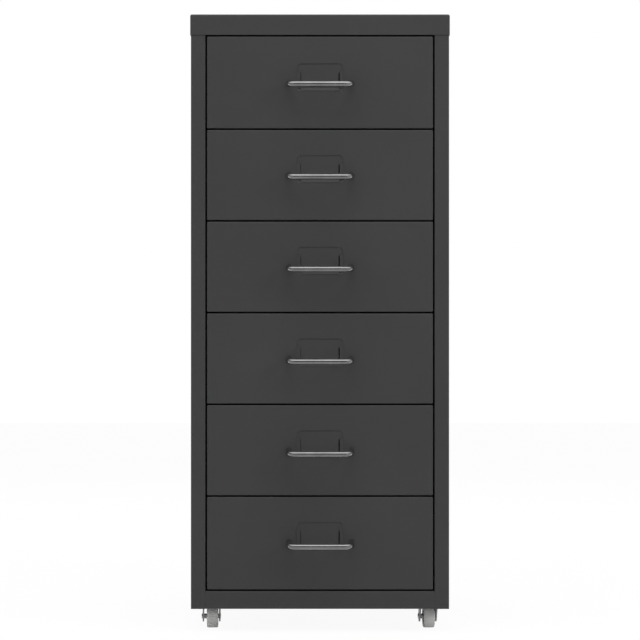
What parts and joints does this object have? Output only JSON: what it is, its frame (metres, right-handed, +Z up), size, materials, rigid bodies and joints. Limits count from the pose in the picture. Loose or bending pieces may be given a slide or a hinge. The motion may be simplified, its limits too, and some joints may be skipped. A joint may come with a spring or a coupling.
{
  "type": "drawer cabinet",
  "caption": "Narrow sheet-steel drawer cabinet on small swivel casters, with flush drawer fronts, bent wire handles and pressed label pockets.",
  "frame": {"origin": "on the floor, at the middle of the cabinet's width and of its depth from the handles to the rear screws", "axes": "+Z up, the drawers face -Y, +X to the viewer's right"},
  "size_m": [0.28, 0.4326, 0.666],
  "materials": {
    "case_paint": "dark grey powder coat, fine orange peel, satin",
    "front_paint": "dark grey powder coat, fine orange peel, satin",
    "tray_paint": "dark grey powder coat, satin, rubbed on the runner flanges",
    "handle_wire": "satin chrome plate",
    "zinc_screws": "zinc plate",
    "caster_steel": "dull zinc plate",
    "caster_pins": "bright steel",
    "wheel_plastic": "moulded grey plastic"
  },
  "bodies": {
    "cabinet": {"top_panel": "case_paint", "left_side_panel": "case_paint", "right_side_panel": "case_paint", "back_panel": "case_paint", "bottom_panel": "case_paint", "shell_screws": "zinc_screws", "left_runners": "case_paint", "right_runners": "case_paint", "caster_front_left_plate": "caster_steel", "caster_front_right_plate": "caster_steel", "caster_rear_left_plate": "caster_steel", "caster_rear_right_plate": "caster_steel", "caster_bolts": "zinc_screws", "caster_kingpins": "caster_pins", "caster_balls": "caster_pins"},
    "drawer_1": {"drawer_1_front": "front_paint", "drawer_1_tray": "tray_paint", "drawer_1_back": "tray_paint", "drawer_1_handle": "handle_wire", "drawer_1_handle_screws": "zinc_screws"},
    "drawer_2": {"drawer_2_front": "front_paint", "drawer_2_tray": "tray_paint", "drawer_2_back": "tray_paint", "drawer_2_handle": "handle_wire", "drawer_2_handle_screws": "zinc_screws"},
    "drawer_3": {"drawer_3_front": "front_paint", "drawer_3_tray": "tray_paint", "drawer_3_back": "tray_paint", "drawer_3_handle": "handle_wire", "drawer_3_handle_screws": "zinc_screws"},
    "drawer_4": {"drawer_4_front": "front_paint", "drawer_4_tray": "tray_paint", "drawer_4_back": "tray_paint", "drawer_4_handle": "handle_wire", "drawer_4_handle_screws": "zinc_screws"},
    "drawer_5": {"drawer_5_front": "front_paint", "drawer_5_tray": "tray_paint", "drawer_5_back": "tray_paint", "drawer_5_handle": "handle_wire", "drawer_5_handle_screws": "zinc_screws"},
    "drawer_6": {"drawer_6_front": "front_paint", "drawer_6_tray": "tray_paint", "drawer_6_back": "tray_paint", "drawer_6_handle": "handle_wire", "drawer_6_handle_screws": "zinc_screws"},
    "caster_front_left_swivel": {"caster_front_left_fork": "caster_steel", "caster_front_left_axle": "caster_pins"},
    "caster_front_left_roll": {"caster_front_left_wheel": "wheel_plastic"},
    "caster_front_right_swivel": {"caster_front_right_fork": "caster_steel", "caster_front_right_axle": "caster_pins"},
    "caster_front_right_roll": {"caster_front_right_wheel": "wheel_plastic"},
    "caster_rear_left_swivel": {"caster_rear_left_fork": "caster_steel", "caster_rear_left_axle": "caster_pins"},
    "caster_rear_left_roll": {"caster_rear_left_wheel": "wheel_plastic"},
    "caster_rear_right_swivel": {"caster_rear_right_fork": "caster_steel", "caster_rear_right_axle": "caster_pins"},
    "caster_rear_right_roll": {"caster_rear_right_wheel": "wheel_plastic"}
  },
  "joints": [
    {"name": "drawer_1_slide", "type": "slide", "parent": "cabinet", "child": "drawer_1", "axis": [0, -1, 0], "range_m": [0, 0.295]},
    {"name": "drawer_2_slide", "type": "slide", "parent": "cabinet", "child": "drawer_2", "axis": [0, -1, 0], "range_m": [0, 0.295]},
    {"name": "drawer_3_slide", "type": "slide", "parent": "cabinet", "child": "drawer_3", "axis": [0, -1, 0], "range_m": [0, 0.295]},
    {"name": "drawer_4_slide", "type": "slide", "parent": "cabinet", "child": "drawer_4", "axis": [0, -1, 0], "range_m": [0, 0.295]},
    {"name": "drawer_5_slide", "type": "slide", "parent": "cabinet", "child": "drawer_5", "axis": [0, -1, 0], "range_m": [0, 0.295]},
    {"name": "drawer_6_slide", "type": "slide", "parent": "cabinet", "child": "drawer_6", "axis": [0, -1, 0], "range_m": [0, 0.295]},
    {"name": "caster_front_left_swivel_turn", "type": "hinge", "parent": "cabinet", "child": "caster_front_left_swivel", "pos_m": [-0.1182, -0.14513, 0.028], "axis": [0, 0, 1], "continuous": true},
    {"name": "caster_front_left_wheel_spin", "type": "hinge", "parent": "caster_front_left_swivel", "child": "caster_front_left_roll", "pos_m": [-0.11869, -0.13714, 0.0125], "axis": [0.9981, 0.061, 0], "continuous": true},
    {"name": "caster_front_right_swivel_turn", "type": "hinge", "parent": "cabinet", "child": "caster_front_right_swivel", "pos_m": [0.1182, -0.14513, 0.028], "axis": [0, 0, 1], "continuous": true},
    {"name": "caster_front_right_wheel_spin", "type": "hinge", "parent": "caster_front_right_swivel", "child": "caster_front_right_roll", "pos_m": [0.11771, -0.13714, 0.0125], "axis": [0.9981, 0.061, 0], "continuous": true},
    {"name": "caster_rear_left_swivel_turn", "type": "hinge", "parent": "cabinet", "child": "caster_rear_left_swivel", "pos_m": [-0.1182, 0.17328, 0.028], "axis": [0, 0, 1], "continuous": true},
    {"name": "caster_rear_left_wheel_spin", "type": "hinge", "parent": "caster_rear_left_swivel", "child": "caster_rear_left_roll", "pos_m": [-0.11869, 0.18126, 0.0125], "axis": [0.9981, 0.061, 0], "continuous": true},
    {"name": "caster_rear_right_swivel_turn", "type": "hinge", "parent": "cabinet", "child": "caster_rear_right_swivel", "pos_m": [0.1182, 0.17328, 0.028], "axis": [0, 0, 1], "continuous": true},
    {"name": "caster_rear_right_wheel_spin", "type": "hinge", "parent": "caster_rear_right_swivel", "child": "caster_rear_right_roll", "pos_m": [0.11771, 0.18126, 0.0125], "axis": [0.9981, 0.061, 0], "continuous": true}
  ]
}
